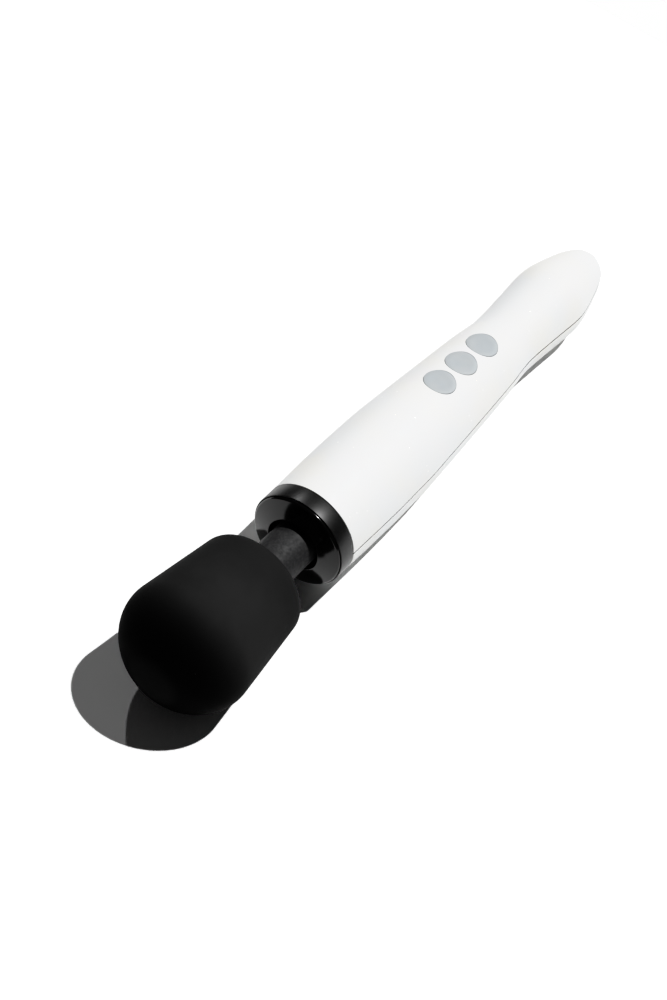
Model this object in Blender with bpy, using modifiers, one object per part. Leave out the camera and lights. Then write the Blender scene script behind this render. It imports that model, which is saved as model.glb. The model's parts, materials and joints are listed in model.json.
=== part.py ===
"""Cordless handheld wand massager, built as an assembly of separate pieces.

Wand coordinates (millimetres): u runs along the handle from the tail to the
tip of the head, y is sideways and w is up through the buttons.  The empty
"wand_frame" holds that frame and lays the wand down as it rests: the head and
a small flat under the tail both touch z = 0.
"""
import math
from collections import namedtuple

import bmesh
import bpy
from mathutils import Vector

MM = 0.001
GAP = 0.3                     # left between pieces that touch

# Overall sizes
LENGTH = 340.0                # inlet bezel to tip of the head
TILT = math.radians(2.5)      # nose-up lie of the handle when it rests
CENTRE_U = 169.9              # station above the frame's origin
AXIS_HEIGHT = 23.635          # of the wand's axis above the floor, there

# Handle: (u, radius) through which its smooth outline passes
HANDLE_OUTLINE = ((0.7, 6.2), (6, 10.3), (20, 15.1), (40, 18.6), (60, 17.5), (80, 16.6), (100, 18.4),
                  (130, 20.5), (155, 22.1), (175, 23.2), (200, 23.5), (232.4, 22.95))
HANDLE_STATIONS = (0.7, 2, 4, 6, 9, 13, 20, 28, 36, 44, 52, 60, 70, 80, 90, 100, 115, 130, 155, 175, 200,
                   232.4)
CAVITY_STATIONS = (3.2, 6, 11, 20, 30, 40, 60, 80, 100, 130, 155, 175, 205)
WALL = 2.0
SEAM_HEIGHT = 2.45            # of the joint between the two shells
SEAM_GAP = 0.3
HANDLE_STEPS = 32

# Charging inlet in the tail
INLET_BORE = 3.25
BEZEL_RADIUS = 5.2
BEZEL_DEPTH = 2.5

# Shell screws: (u, half spacing)
SHELL_SCREWS = ((20.0, 7.0), (160.5, 13.0))
POST_RADIUS = 3.1
RECESS_TOP = -8.0
SCREW_TOP = 6.6

# Button deck: three round caps in a row along the top of the handle
DECK_U = 121.2
BUTTON_SPACING = 17.9
BUTTON_RADIUS = 7.55
BUTTON_CLEARANCE = 0.3
BUTTON_PROUD = 0.35
BOARD_TOP = -9.8
BOARD_THICKNESS = 1.4
BOARD_SPAN = (-26.0, 38.0)
BOARD_HALF_WIDTH = 9.0
BOARD_SCREW = (33.5, 6.2)

# Battery
CELL_RADIUS = 9.2
CELL_LENGTH = 65.0
CELL_HEIGHT = -3.5
CELL_START = 25.0
CELL_PITCH = CELL_LENGTH + 0.9

# Motor
MOTOR_RADIUS = 18.0
CAN_SPAN = (171.0, 213.0)
MOTOR_SHAFT = 2.0
RUNNING = 0.05                # radial clearance of a shaft in its bush

# Collar and flexible neck
COLLAR_REAR = 232.7
COLLAR_FRONT = 240.9
CONE_TIP = 244.7
HOLE_RADIUS = 12.57
COLLAR_RIM = 22.5
CONE_RADIUS = 22.15
NECK_RADIUS = 10.57
PIVOT_U = 234.0
DRIVE_SHAFT = 3.0
COUPLING_END = 238.5
SWING_ROOM = 0.85             # for the shaft to tilt in the mouth of its coupling
FLANGE_SCREW = 11.3           # off the axis

# Head
HEAD_RADIUS = 30.0
HEAD_REAR = 268.6
DOME_DEPTH = 24.4
HEAD_TAPER = math.radians(6.7)
SHOULDER = 7.5
SKIN = 3.2
CORE_WALL = 2.6
CORE_SPLIT = 300.0

Frame = namedtuple("Frame", "empty origin")


# ---------------------------------------------------------------- scene helpers
def clear_scene():
    for old in list(bpy.data.objects):
        bpy.data.objects.remove(old)


def new_collection(name):
    collection = bpy.data.collections.new(name)
    bpy.context.scene.collection.children.link(collection)
    return collection


clear_scene()
PARTS = new_collection("wand_massager")
CUTTERS = new_collection("cutters")

# name: (colour, roughness, metallic)
FINISHES = {
    "white_shell": ((0.86, 0.87, 0.87), 0.28, 0.0),
    "button_grey": ((0.56, 0.60, 0.62), 0.4, 0.0),
    "black_gloss": ((0.012, 0.012, 0.013), 0.25, 0.0),
    "black_plastic": ((0.03, 0.03, 0.03), 0.5, 0.0),
    "black_silicone": ((0.015, 0.015, 0.016), 0.6, 0.0),
    "dark_rubber": ((0.05, 0.05, 0.052), 0.75, 0.0),
    "grey_plastic": ((0.35, 0.36, 0.37), 0.5, 0.0),
    "steel": ((0.62, 0.63, 0.64), 0.3, 1.0),
    "nickel": ((0.7, 0.68, 0.62), 0.35, 1.0),
    "bronze": ((0.55, 0.35, 0.16), 0.45, 1.0),
    "copper": ((0.72, 0.32, 0.15), 0.35, 1.0),
    "ferrite": ((0.08, 0.08, 0.085), 0.7, 0.0),
    "carbon": ((0.03, 0.03, 0.03), 0.6, 0.0),
    "cell_wrap": ((0.09, 0.25, 0.5), 0.4, 0.0),
    "board_green": ((0.02, 0.16, 0.07), 0.45, 0.0),
    "red_wire": ((0.5, 0.02, 0.02), 0.45, 0.0),
}


def finish(item, kind):
    colour, roughness, metallic = FINISHES[kind]
    material = bpy.data.materials.new(item.name)
    material.use_nodes = True
    shader = material.node_tree.nodes["Principled BSDF"]
    shader.inputs["Base Color"].default_value = (*colour, 1.0)
    shader.inputs["Roughness"].default_value = roughness
    shader.inputs["Metallic"].default_value = metallic
    item.data.materials.append(material)


def file_under(item, kind):
    """Put a solid with the parts, or a cutter with the cutters."""
    if kind == "cutter":
        CUTTERS.objects.link(item)
        item.hide_render = True
        item.display_type = "WIRE"
    else:
        PARTS.objects.link(item)
        finish(item, kind)


def new_empty(name, parent, location, pitch=0.0):
    empty = bpy.data.objects.new(name, None)
    empty.empty_display_size = 0.01
    PARTS.objects.link(empty)
    empty.parent = parent
    empty.location = Vector(location) * MM
    empty.rotation_euler = (0.0, pitch, 0.0)
    return empty


def attach(item, frame, location=(0, 0, 0)):
    """Hang an item on a frame; the location stays in the frame's outer coordinates."""
    item.parent = frame.empty
    item.location = (Vector(location) - Vector(frame.origin)) * MM


# ---------------------------------------------------------------- shape helpers
def signed_area(points):
    following = points[1:] + points[:1]
    return 0.5 * sum(a[0] * b[1] - b[0] * a[1] for a, b in zip(points, following))


def profile_mesh(name, points, closed):
    """A wire in the XZ plane that runs down its outer side, ready for a Screw."""
    if signed_area(points) > 0:
        points = points[::-1]
    count = len(points)
    edges = [(i, (i + 1) % count) for i in range(count if closed else count - 1)]
    mesh = bpy.data.meshes.new(name)
    mesh.from_pydata([(r * MM, 0.0, z * MM) for r, z in points], edges, [])
    return mesh


def revolve(name, kind, points, steps):
    """Turn an outline of (radius, height) points about local Z."""
    points = [tuple(p) for p in points]
    closed = min(r for r, _ in points) > 0
    item = bpy.data.objects.new(name, profile_mesh(name, points, closed))
    file_under(item, kind)
    screw = item.modifiers.new("turn", "SCREW")
    screw.axis = "Z"
    screw.angle = math.tau
    screw.steps = screw.render_steps = steps
    screw.use_merge_vertices = True
    screw.merge_threshold = 0.00001
    screw.use_smooth_shade = True
    return item


def turned(name, kind, points, frame, steps=20):
    """Turn an outline of (radius, u) points about the wand's axis."""
    item = revolve(name, kind, points, steps)
    item.rotation_euler = (0.0, math.pi / 2, 0.0)
    attach(item, frame)
    return item


def ring(inner, outer, start, end):
    return [(inner, start), (outer, start), (outer, end), (inner, end)]


def rod(radius, start, end):
    return [(0.0, start), (radius, start), (radius, end), (0.0, end)]


def block(name, kind, low, high, frame, bevel=0.0):
    """A box between two corners, with its origin at its centre."""
    low, high = Vector(low), Vector(high)
    mesh = bpy.data.meshes.new(name)
    shape = bmesh.new()
    bmesh.ops.create_cube(shape, size=1.0)
    bmesh.ops.scale(shape, vec=(high - low) * MM, verts=shape.verts)
    shape.to_mesh(mesh)
    shape.free()
    item = bpy.data.objects.new(name, mesh)
    file_under(item, kind)
    attach(item, frame, (low + high) / 2)
    if bevel:
        rounding = item.modifiers.new("round", "BEVEL")
        rounding.width = bevel * MM
        rounding.segments = 1
    return item


def upright(name, kind, points, frame, location, steps=12):
    """Turn an outline of (radius, w) points about a vertical axis."""
    item = revolve(name, kind, points, steps)
    attach(item, frame, location)
    return item


def combine(target, cutter, operation="DIFFERENCE"):
    """A Boolean step, and a weld that closes the hairline gaps it can leave for the next one."""
    step = target.modifiers.new(cutter.name, "BOOLEAN")
    step.operation = operation
    step.object = cutter
    weld = target.modifiers.new("weld", "WELD")
    weld.merge_threshold = 0.000001
    return target


def lead(name, kind, route, radius, frame):
    """An insulated two-core lead along its route."""
    curve = bpy.data.curves.new(name, "CURVE")
    curve.dimensions = "3D"
    curve.bevel_depth = radius * MM
    curve.bevel_resolution = 2
    curve.use_fill_caps = True
    spline = curve.splines.new("POLY")
    spline.points.add(len(route) - 1)
    for point, place in zip(spline.points, route):
        point.co = (*(Vector(place) * MM), 1.0)
    item = bpy.data.objects.new(name, curve)
    file_under(item, kind)
    attach(item, frame)
    return item


# ---------------------------------------------------------------- outlines
def end_slopes(points):
    return [(b[1] - a[1]) / (b[0] - a[0]) for a, b in zip(points, points[1:])]


def handle_radius(u):
    """Smooth curve through HANDLE_OUTLINE that never overshoots its points."""
    rises = end_slopes(HANDLE_OUTLINE)
    slopes = [rises[0]]
    for before, after in zip(rises, rises[1:]):
        slopes.append(2 * before * after / (before + after) if before * after > 0 else 0.0)
    slopes.append(rises[-1])
    last = len(HANDLE_OUTLINE) - 2
    index = next((i for i in range(last) if u < HANDLE_OUTLINE[i + 1][0]), last)
    (u0, r0), (u1, r1) = HANDLE_OUTLINE[index], HANDLE_OUTLINE[index + 1]
    span = u1 - u0
    t = (u - u0) / span
    return ((2 * t ** 3 - 3 * t ** 2 + 1) * r0 + (t ** 3 - 2 * t ** 2 + t) * span * slopes[index]
            + (3 * t ** 2 - 2 * t ** 3) * r1 + (t ** 3 - t ** 2) * span * slopes[index + 1])


def head_outline(inset, rear_radius, shoulder_points=3, dome_points=5):
    """Head's outline, drawn inwards by inset, from its rear face to the tip."""
    radius = HEAD_RADIUS - inset
    depth = DOME_DEPTH - inset
    dome_centre = LENGTH - DOME_DEPTH
    fillet = SHOULDER - inset * 0.6
    # Where the dome's ellipse runs into the taper
    meet = math.atan2(1.0, -math.tan(HEAD_TAPER) * depth / radius)
    angles = [meet] + [math.pi / 2 * i / dome_points for i in range(dome_points, -1, -1)]
    dome = [(radius * math.sin(angle), dome_centre + depth * math.cos(angle)) for angle in angles]
    cone_r, cone_u = dome[0]
    rear = HEAD_REAR + inset
    centre_u = rear + fillet
    # The fillet touches both the rear face and the taper
    edge_u = centre_u - fillet * math.sin(HEAD_TAPER)
    edge_r = cone_r - (cone_u - edge_u) * math.tan(HEAD_TAPER)
    centre_r = edge_r - fillet * math.cos(HEAD_TAPER)
    turn = math.pi / 2 - HEAD_TAPER
    shoulder = [(centre_r + fillet * math.sin(turn * i / shoulder_points),
                  centre_u - fillet * math.cos(turn * i / shoulder_points))
                 for i in range(shoulder_points + 1)]
    return [(rear_radius, rear)] + shoulder + dome


def between(points, start, end):
    """The stretch of an outline from one u to another, with new points at its cuts."""
    kept = []
    for (r0, u0), (r1, u1) in zip(points, points[1:]):
        for limit in (start, end):
            if min(u0, u1) < limit < max(u0, u1):
                kept.append((r0 + (r1 - r0) * (limit - u0) / (u1 - u0), limit))
        if start <= u1 <= end:
            kept.append((r1, u1))
    return kept


# ---------------------------------------------------------------- frames
def make_frames():
    drop = math.sin(TILT) * CENTRE_U
    tail = (-CENTRE_U * math.cos(TILT), 0.0, AXIS_HEIGHT - drop)
    wand = Frame(new_empty("wand_frame", None, tail, -TILT), (0, 0, 0))
    pivot = (PIVOT_U, 0, 0)
    neck = Frame(new_empty("neck_pivot", wand.empty, pivot), pivot)
    slope = math.atan2(handle_radius(DECK_U + BUTTON_SPACING) - handle_radius(DECK_U - BUTTON_SPACING),
                       2 * BUTTON_SPACING)
    deck = Frame(new_empty("button_deck", wand.empty, (DECK_U, 0, handle_radius(DECK_U)), -slope), (0, 0, 0))
    return wand, neck, deck


# ---------------------------------------------------------------- handle
def handle_solid(name, kind, frame):
    outline = [(handle_radius(u), u) for u in HANDLE_STATIONS]
    return turned(name, kind, [(0.0, HANDLE_STATIONS[0])] + outline + [(0.0, HANDLE_STATIONS[-1])],
                  frame, HANDLE_STEPS)


def handle_cavity(frame, deck):
    """Space inside the shells, less the posts that stand in it."""
    hole = BEZEL_RADIUS + GAP
    front = HANDLE_STATIONS[-1] + 1
    outline = [(0.0, -1.0), (hole, -1.0), (hole, 2.8)]
    outline += [(handle_radius(u) - WALL, u) for u in CAVITY_STATIONS]
    outline += [(handle_radius(HANDLE_STATIONS[-1]) - WALL, front), (0.0, front)]
    cavity = turned("cavity", "cutter", outline, frame, HANDLE_STEPS)
    for u, half in SHELL_SCREWS:
        for side in (-1, 1):
            name = f"post_{u:.0f}_{side}"
            combine(cavity, upright(name, "cutter", rod(POST_RADIUS, -26, 26), frame, (u, side * half, 0)))
    along, half = BOARD_SCREW
    for side in (-1, 1):
        boss = upright(f"board_boss_{side}", "cutter", rod(2.2, BOARD_TOP + GAP, 4), deck,
                       (along, side * half, 0))
        combine(cavity, boss)
    return cavity


def screw_hole_cutters(frame):
    stepped = [(0, -27), (2.7, -27), (2.7, RECESS_TOP), (1.3, RECESS_TOP), (1.3, SCREW_TOP + GAP),
               (0, SCREW_TOP + GAP)]
    return [upright(f"screw_hole_{u:.0f}_{side}", "cutter", stepped, frame, (u, side * half, 0))
            for u, half in SHELL_SCREWS for side in (-1, 1)]


def make_shells(frame, deck):
    cavity = handle_cavity(frame, deck)
    holes = screw_hole_cutters(frame)
    above = block("above_seam", "cutter", (-5, -40, SEAM_HEIGHT + SEAM_GAP / 2), (250, 40, 60), frame)
    below = block("below_seam", "cutter", (-5, -40, -60), (250, 40, SEAM_HEIGHT - SEAM_GAP / 2), frame)
    upper = combine(handle_solid("upper_shell", "white_shell", frame), above, "INTERSECT")
    lower = combine(handle_solid("lower_shell", "white_shell", frame), below, "INTERSECT")
    for shell in (upper, lower):
        combine(shell, cavity)
        for hole in holes:
            combine(shell, hole)
    for index in range(3):
        opening = upright(f"button_opening_{index + 1}", "cutter",
                          rod(BUTTON_RADIUS + BUTTON_CLEARANCE, -8, 6), deck, (button_place(index), 0, 0), 24)
        combine(upper, opening)
    for side in (-1, 1):
        along, half = BOARD_SCREW
        bore = upright(f"board_bore_{side}", "cutter", rod(1.2, BOARD_TOP - 1, -4.5), deck,
                       (along, side * half, 0))
        combine(upper, bore)
    floor = new_empty("floor_level", None, (0, 0, 0))
    combine(lower, block("rest_cut", "cutter", (-200, -30, -20), (0, 30, 0), Frame(floor, (0, 0, 0))))


def make_shell_screws(frame):
    head_top = RECESS_TOP - GAP
    outline = [(0, head_top - 1.8), (2.2, head_top - 1.8), (2.2, head_top), (1.0, head_top),
               (1.0, SCREW_TOP), (0, SCREW_TOP)]
    places = [(u, side * half, 0) for u, half in SHELL_SCREWS for side in (-1, 1)]
    for index, place in enumerate(places):
        upright(f"shell_screw_{index + 1}", "steel", outline, frame, place)


def make_inlet(frame):
    turned("inlet_bezel", "black_plastic", ring(INLET_BORE, BEZEL_RADIUS, 0, BEZEL_DEPTH), frame)
    face = BEZEL_DEPTH + GAP
    body = 4.9
    socket = [(0, 11.5), (INLET_BORE, 11.5), (INLET_BORE, face), (body, face), (body, 13.5), (0, 13.5)]
    hub = turned("dc_socket", "black_plastic", socket, frame)
    combine(hub, turned("pin_seat", "cutter", rod(1.3, 9, 15), frame))
    turned("dc_socket_pin", "nickel", rod(1.0, 5.6, 14.5), frame)


def make_collar(frame):
    radius = handle_radius(232.4)
    turned("collar_ring", "black_gloss",
           [(13.0, 224.0), (radius - WALL - GAP, 224.0), (radius - WALL - GAP, COLLAR_REAR),
            (radius, COLLAR_REAR),
            (radius - 0.08, COLLAR_FRONT - 0.3), (radius - 0.3, COLLAR_FRONT), (COLLAR_RIM, COLLAR_FRONT),
            (COLLAR_RIM, 239.2),
            (17.8, 239.2), (17.8, 228.7), (13.0, 228.7)], frame, HANDLE_STEPS)
    turned("collar_cone", "black_gloss",
           [(HOLE_RADIUS, CONE_TIP - 2.0), (HOLE_RADIUS, CONE_TIP), (21.35, 242.25), (CONE_RADIUS, 241.1),
            (CONE_RADIUS, 239.5), (18.0, 239.5)],
           frame, HANDLE_STEPS)


# ---------------------------------------------------------------- battery and controls
def make_battery(frame):
    for index in range(2):
        start = CELL_START + index * CELL_PITCH
        outline = [(0, start), (CELL_RADIUS - 0.8, start), (CELL_RADIUS, start + 0.8),
                   (CELL_RADIUS, start + CELL_LENGTH - 1.5), (CELL_RADIUS - 1.5, start + CELL_LENGTH - 1.0),
                   (4.0, start + CELL_LENGTH - 1.0), (3.0, start + CELL_LENGTH), (0, start + CELL_LENGTH)]
        cell = turned(f"battery_cell_{index + 1}", "cell_wrap", outline, frame)
        cell.location.z = CELL_HEIGHT * MM
    joint = CELL_START + CELL_LENGTH + (CELL_PITCH - CELL_LENGTH) / 2
    block("cell_link", "nickel", (joint - 0.15, -3, CELL_HEIGHT - 7), (joint + 0.15, 3, CELL_HEIGHT + 7),
          frame)

    inside = [(handle_radius(u) - WALL - GAP, u) for u in (23, 30, 40, 60, 80, 100, 130, 156.5)]
    room = turned("cradle_room", "cutter", [(0, 23)] + inside + [(0, 156.5)], frame, HANDLE_STEPS)
    nest = turned("cell_nest", "cutter", rod(CELL_RADIUS + GAP, 20, 160), frame)
    nest.location.z = CELL_HEIGHT * MM
    cradle = block("battery_cradle", "grey_plastic", (24.2, -11, -16), (156.0, 11, -7.5), frame)
    combine(cradle, room, "INTERSECT")
    combine(cradle, nest)


def button_place(index):
    return (1 - index) * BUTTON_SPACING


def make_board(deck):
    bottom = BOARD_TOP - BOARD_THICKNESS
    board = block("control_board", "board_green", (BOARD_SPAN[0], -BOARD_HALF_WIDTH, bottom),
                  (BOARD_SPAN[1], BOARD_HALF_WIDTH, BOARD_TOP), deck)
    along, half = BOARD_SCREW
    for side in (-1, 1):
        combine(board, upright(f"board_hole_{side}", "cutter", rod(1.3, bottom - 2, BOARD_TOP + 2), deck,
                               (along, side * half, 0)))
    head = bottom - GAP
    screw = [(0, head - 1.2), (1.9, head - 1.2), (1.9, head), (0.9, head), (0.9, -4.9), (0, -4.9)]
    for index, side in enumerate((-1, 1)):
        upright(f"board_screw_{index + 1}", "steel", screw, deck, (along, side * half, 0))

    rests = BOARD_TOP + GAP
    block("driver_chip", "carbon", (29.5, -3, rests), (37.0, 3, rests + 1.6), deck, 0.2)
    for index in range(3):
        middle = button_place(index)
        switch = block(f"tact_switch_{index + 1}", "carbon", (middle - 3, -3, rests),
                       (middle + 3, 3, rests + 2.9), deck)
        combine(switch, upright(f"switch_bore_{index + 1}", "cutter", rod(2.0, -8.8, 0), deck,
                                (middle, 0, 0)))


def make_buttons(frame, deck):
    stations = range(88, 156, 6)
    crown_outline = [(handle_radius(u) + BUTTON_PROUD, u) for u in stations]
    crown = turned("button_crown", "cutter", [(0, stations[0])] + crown_outline + [(0, stations[-1])],
                   frame, 48)
    cap = [(0, -5.45), (1.6, -5.45), (1.6, -5.25), (8.3, -5.25), (8.3, -4.45), (BUTTON_RADIUS, -4.45),
           (BUTTON_RADIUS, 4.0), (0, 4.0)]
    plunger = rod(1.7, -8.1, -5.75)
    for index in range(3):
        place = (button_place(index), 0, 0)
        button = Frame(new_empty(f"button_{index + 1}_axis", deck.empty, place), place)
        combine(upright(f"button_cap_{index + 1}", "button_grey", cap, button, place, 24), crown, "INTERSECT")
        upright(f"switch_plunger_{index + 1}", "red_wire", plunger, button, place)


def make_leads(frame):
    routes = {
        "motor_lead": [(150, 2.6, 9.5), (156, 2.4, 9.9), (161, 4, 9.8), (166.1, 6, 9)],
        "battery_lead": [(157.2, -1, -3.5), (159, -1, -1), (159.6, -1, 3), (158.4, -1, 7), (154.0, -1, 9.2)],
        "inlet_lead": [(15.0, 0, 0), (17.6, 0, 1.6), (21, 0, 5.6), (28, 0, 8.2), (40, 0, 9), (80, 0, 8.6),
                       (94.6, 0, 7.7)],
    }
    for name, route in routes.items():
        lead(name, "red_wire", route, 0.8, frame)


# ---------------------------------------------------------------- motor
def make_motor(frame):
    start, end = CAN_SPAN
    inner = MOTOR_RADIUS - 1.5
    turned("motor_can", "steel", ring(inner, MOTOR_RADIUS, start, end), frame)
    seat = 4.5 + GAP
    front = end + GAP
    turned("motor_front_cap", "steel",
           [(seat, front), (inner, front), (inner, front + 0.2), (MOTOR_RADIUS, front + 0.2),
            (MOTOR_RADIUS, 217),
            (6.8, 217), (6.8, 220.5), (seat, 220.5)], frame)
    turned("motor_rear_cap", "black_plastic",
           [(seat, 166.5), (MOTOR_RADIUS, 166.5), (MOTOR_RADIUS, start - GAP), (11.5, start - GAP),
            (11.5, 169.5),
            (seat, 169.5)], frame)
    for name, low, high in (("motor_front_bush", front, 220.3), ("motor_rear_bush", 166.6, 169.9)):
        turned(name, "bronze", ring(MOTOR_SHAFT + RUNNING, 4.5, low, high), frame)
    for name, middle in (("motor_mount_front", 206.0), ("motor_mount_rear", 178.0)):
        turned(name, "dark_rubber", ring(MOTOR_RADIUS + GAP, 20.7, middle - 3, middle + 3), frame)
    for index, side in enumerate((-1, 1)):
        magnet = turned(f"motor_magnet_{index + 1}", "ferrite", ring(13.8, inner - GAP, 176, 208), frame)
        half = sorted((side * 4, side * 20))
        combine(magnet, block(f"magnet_side_{index + 1}", "cutter", (170, half[0], -20),
                              (212, half[1], 20), frame),
                "INTERSECT")
        brush = sorted((side * 5.2, side * 10.2))
        block(f"motor_brush_{index + 1}", "carbon", (171.3, brush[0], -1.5), (173.9, brush[1], 1.5), frame)


def make_rotor(frame):
    turned("motor_shaft", "steel", rod(MOTOR_SHAFT, 166.9, 233), frame)
    core = turned("armature_core", "steel", ring(MOTOR_SHAFT + GAP, 13.3, 178, 206), frame)
    winding = turned("armature_winding", "copper", ring(MOTOR_SHAFT + GAP, 11.8, 174.7, 177.7), frame)
    combine(winding, turned("winding_front", "cutter", ring(MOTOR_SHAFT + GAP, 11.8, 206.3, 209.5), frame),
            "UNION")
    for index in range(5):
        for name, half, reach, span in ((f"armature_slot_{index}", 1.7, 6.0, (177, 207)),
                                        (f"winding_run_{index}", 1.4, 4.3, (176, 208))):
            angle = math.tau * index / 5
            bar = block(name, "cutter", (span[0], -half, -reach / 2), (span[1], half, reach / 2), frame)
            bar.location.y += 10.5 * MM * math.sin(angle)
            bar.location.z += 10.5 * MM * math.cos(angle)
            bar.rotation_euler.x = -angle
            if name.startswith("armature"):
                combine(core, bar)
            else:
                combine(winding, bar, "UNION")
    turned("commutator", "copper", ring(MOTOR_SHAFT + GAP, 4.8, 170.9, 174.2), frame)
    turned("flex_coupling", "dark_rubber",
           [(MOTOR_SHAFT + GAP, 223), (4.8, 223), (4.8, COUPLING_END),
            (DRIVE_SHAFT + SWING_ROOM, COUPLING_END),
            (DRIVE_SHAFT + GAP + 0.1, 236), (DRIVE_SHAFT + GAP, 234.3), (MOTOR_SHAFT + GAP, 234.3)], frame)


# ---------------------------------------------------------------- neck and head
def make_neck(head):
    # Short enough to tilt with the neck inside the collar
    turned("neck_isolator", "dark_rubber", ring(9.3, 17.2, 230.85, 237.05), head)
    tube = turned("neck_tube", "black_plastic",
                  [(6.8, 226), (10.5, 226), (10.5, 228.6), (8.8, 228.6), (8.8, 268.9), (13.7, 268.9),
                   (13.7, 271.8),
                   (6.8, 271.8)], head)
    turned("neck_sleeve", "dark_rubber", ring(9.1, NECK_RADIUS, 238.8, 268.6), head)
    recess = [(0, 268.0), (1.9, 268.0), (1.9, 270.4), (1.1, 270.4), (1.1, 276.0), (0, 276.0)]
    cutters = []
    for index, side in enumerate((-1, 1)):
        hole = turned(f"flange_hole_{index + 1}", "cutter", recess, head)
        hole.location.y += side * FLANGE_SCREW * MM
        combine(tube, hole)
        cutters.append(hole)
    screw = [(0, 269.1), (1.6, 269.1), (1.6, 270.1), (0.8, 270.1), (0.8, 274.7), (0, 274.7)]
    for index, side in enumerate((-1, 1)):
        item = turned(f"flange_screw_{index + 1}", "steel", screw, head)
        item.location.y += side * FLANGE_SCREW * MM
    return cutters


def make_head(head, flange_holes):
    skin = head_outline(SKIN, 14.0)[::-1] + head_outline(0.0, 14.0, 5, 8)
    turned("silicone_cap", "black_silicone", skin, head, HANDLE_STEPS)
    inset = SKIN + GAP
    outside = head_outline(inset, 5.3)
    inside = head_outline(inset + CORE_WALL, 8.0)
    front = LENGTH + 1
    rear = [(5.3, HEAD_REAR + inset)] + between(outside, HEAD_REAR + inset, CORE_SPLIT)
    rear += between(inside, HEAD_REAR + inset, CORE_SPLIT)[::-1]
    rear += [(8.0, HEAD_REAR + inset + CORE_WALL), (8.0, 282), (5.3, 282)]
    core = turned("head_core_rear", "black_plastic", rear, head)
    for hole in flange_holes:
        combine(core, hole)
    hub_root = next(u for r, u in reversed(inside) if r > 8.0)
    cup = [(0, 329.5), (5.3, 329.5), (5.3, 320), (8.0, 320), (8.0, hub_root + 1.4)]
    cup += [p for p in between(inside, CORE_SPLIT + GAP, front)[::-1] if p[0] > 8.0]
    cup += between(outside, CORE_SPLIT + GAP, front)
    turned("head_core_front", "black_plastic", cup, head)
    for name, low, high in (("head_bush_rear", 272.5, 281.7), ("head_bush_front", 320.3, 328.0)):
        turned(name, "bronze", ring(DRIVE_SHAFT + RUNNING, 5.0, low, high), head)


def make_eccentric(head):
    turned("drive_shaft", "steel", rod(DRIVE_SHAFT, 235.5, 328.5), head)
    weight = turned("eccentric_weight", "steel", ring(DRIVE_SHAFT + GAP, 15.0, 288, 312), head)
    combine(weight, block("weight_flat", "cutter", (280, -20, 5.5), (320, 20, 20), head))
    turned("shaft_clip", "steel", ring(DRIVE_SHAFT + GAP, 4.9, 317.6, 318.4), head, 16)


def main():
    wand, head, deck = make_frames()
    make_shells(wand, deck)
    make_shell_screws(wand)
    make_inlet(wand)
    make_collar(wand)
    make_battery(wand)
    make_board(deck)
    make_buttons(wand, deck)
    make_leads(wand)
    make_motor(wand)
    make_rotor(wand)
    flange_holes = make_neck(head)
    make_head(head, flange_holes)
    make_eccentric(head)


main()
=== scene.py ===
"""Looks of a handheld wand massager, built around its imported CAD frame.

Pieces are drawn in wand coordinates, in millimetres: u runs from the tail to the
tip of the head, y is sideways and w is up through the buttons.  Where the wand
lies is read from the frame.
"""
import json
import math

import bpy
import bmesh
from mathutils import Matrix, Vector


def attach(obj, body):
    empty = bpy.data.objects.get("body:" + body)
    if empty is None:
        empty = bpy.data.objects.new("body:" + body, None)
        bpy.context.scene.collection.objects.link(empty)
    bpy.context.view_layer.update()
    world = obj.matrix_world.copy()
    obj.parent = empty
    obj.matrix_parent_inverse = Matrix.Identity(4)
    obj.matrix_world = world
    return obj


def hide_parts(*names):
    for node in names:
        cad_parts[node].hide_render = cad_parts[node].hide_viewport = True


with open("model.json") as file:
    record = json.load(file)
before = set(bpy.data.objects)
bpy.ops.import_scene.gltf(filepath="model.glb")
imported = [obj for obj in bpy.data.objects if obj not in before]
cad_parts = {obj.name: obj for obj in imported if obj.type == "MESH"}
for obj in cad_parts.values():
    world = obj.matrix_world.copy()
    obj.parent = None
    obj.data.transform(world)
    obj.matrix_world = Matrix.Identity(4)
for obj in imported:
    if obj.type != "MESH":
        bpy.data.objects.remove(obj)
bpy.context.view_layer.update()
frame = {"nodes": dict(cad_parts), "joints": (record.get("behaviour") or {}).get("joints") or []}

MM = 0.001
SHARP_ANGLE = math.radians(40)
NODES = frame["nodes"]
JOINTS = {joint["name"]: joint for joint in frame["joints"]}

# Photograph's camera, fitted to the object's outlines
CAMERA_AZIMUTH = math.radians(25.02)      # from +X towards +Y
CAMERA_ELEVATION = math.radians(49.29)
CAMERA_ROLL = math.radians(13.54)
CAMERA_DISTANCE = 1.0
SENSOR_WIDTH = 36.0                       # along the image's long side
CAMERA_LENS = 81.2
CAMERA_TARGET = Vector((0.0, 0.0, 0.02))
CAMERA_SHIFT = (-0.0578, -0.0452)


# ---------------------------------------------------------------- wand coordinates
AXIS_U = Vector(JOINTS["motor_spin"]["axis"]).normalized()
AXIS_Y = Vector((0.0, 1.0, 0.0))
AXIS_W = AXIS_U.cross(AXIS_Y)
ON_AXIS = Vector(JOINTS["motor_spin"]["pos_m"])
TAIL = ON_AXIS + AXIS_U * min((v.co - ON_AXIS).dot(AXIS_U) for v in NODES["inlet_bezel"].data.vertices)
WAND = Matrix.Translation(TAIL) @ Matrix((AXIS_U, AXIS_Y, AXIS_W)).transposed().to_4x4()


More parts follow.
